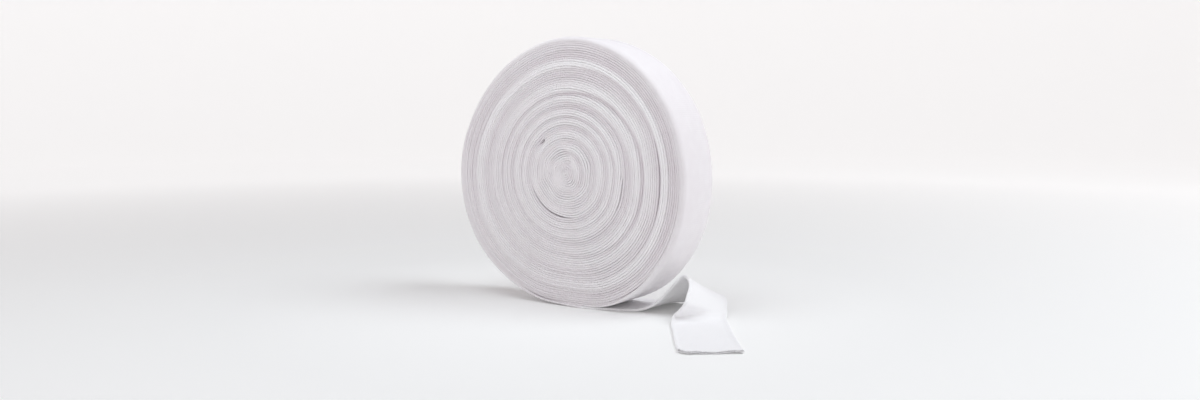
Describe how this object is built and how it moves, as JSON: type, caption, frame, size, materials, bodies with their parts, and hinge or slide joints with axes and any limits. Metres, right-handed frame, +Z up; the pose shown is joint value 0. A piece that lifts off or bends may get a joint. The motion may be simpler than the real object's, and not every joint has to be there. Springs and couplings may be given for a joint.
{
  "type": "stockinette roll",
  "caption": "Wide, narrow-edged roll of white tubular cotton stockinette standing on its rim, with a loose end that lifts in one soft arch.",
  "frame": {"origin": "middle of the flat spot on which the roll stands, on the surface under it", "axes": "+Y along the roll's axis, -Y is the side towards which the loose end turns; +X the way the loose end leaves the roll; +Z up"},
  "size_m": [0.3235, 0.1692, 0.2309],
  "materials": {
    "wound_stockinette": "soft matt plain-knit cotton",
    "loose_stockinette": "soft matt plain-knit cotton"
  },
  "bodies": {
    "root": {"wound_roll": "wound_stockinette", "loose_end": "loose_stockinette"}
  },
  "joints": []
}
